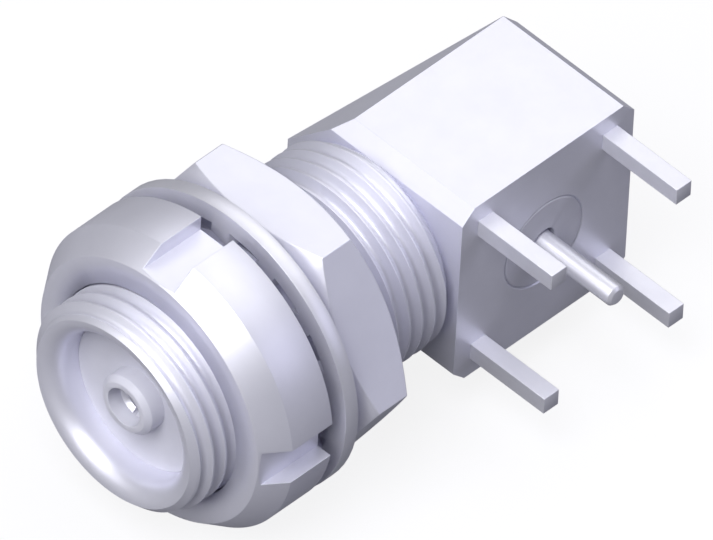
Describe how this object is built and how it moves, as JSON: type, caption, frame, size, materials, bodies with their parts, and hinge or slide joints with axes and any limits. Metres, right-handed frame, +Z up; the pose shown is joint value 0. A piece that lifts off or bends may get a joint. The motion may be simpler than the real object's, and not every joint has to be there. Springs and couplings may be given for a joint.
{
  "type": "right-angle coaxial printed-circuit receptacle",
  "caption": "Right-angle coaxial socket for a circuit board, with a threaded panel barrel, nuts and a toothed lock washer.",
  "frame": {"origin": "on the board-seating face, on the centre pin's axis", "axes": "+X out of the board face along the pins, -Y out of the mating face along the barrel, +Z up, so the part lies on its side"},
  "size_m": [0.0117, 0.0175, 0.01],
  "materials": {
    "plated_brass": "satin nickel plate",
    "plated_spring_metal": "satin nickel plate on phosphor bronze",
    "insulator": "waxy white fluoropolymer",
    "contact_plating": "bright silver plate",
    "tinned_pin": "semi-matte tin plate"
  },
  "bodies": {
    "connector": {"elbow_block": "plated_brass", "access_cap": "plated_brass", "threaded_shell": "plated_brass", "front_insulator": "insulator", "rear_insulator": "insulator", "retaining_ring": "plated_brass", "socket_contact": "contact_plating", "centre_pin": "contact_plating", "pin_insulator": "insulator", "ground_pin_front_upper": "tinned_pin", "ground_pin_front_lower": "tinned_pin", "ground_pin_rear_upper": "tinned_pin", "ground_pin_rear_lower": "tinned_pin"},
    "washer": {"lock_washer": "plated_spring_metal"},
    "hex_nut": {"hex_nut": "plated_brass"},
    "slotted_nut": {"slotted_nut": "plated_brass"}
  },
  "joints": [
    {"name": "washer_slide", "type": "slide", "parent": "connector", "child": "washer", "axis": [0, 1, 0], "range_m": [0, 0.0032]},
    {"name": "hex_nut_turn", "type": "hinge", "parent": "washer", "child": "hex_nut", "pos_m": [-0.0035, -0.0078, 0], "axis": [0, 1, 0], "range_deg": [0, 2304]},
    {"name": "slotted_nut_slide", "type": "slide", "parent": "connector", "child": "slotted_nut", "axis": [0, -1, 0], "range_m": [0, 0.0042]}
  ],
  "couplings": [
    {"joint": "hex_nut_turn", "follows": "washer_slide", "rad_per_m": 12566}
  ]
}
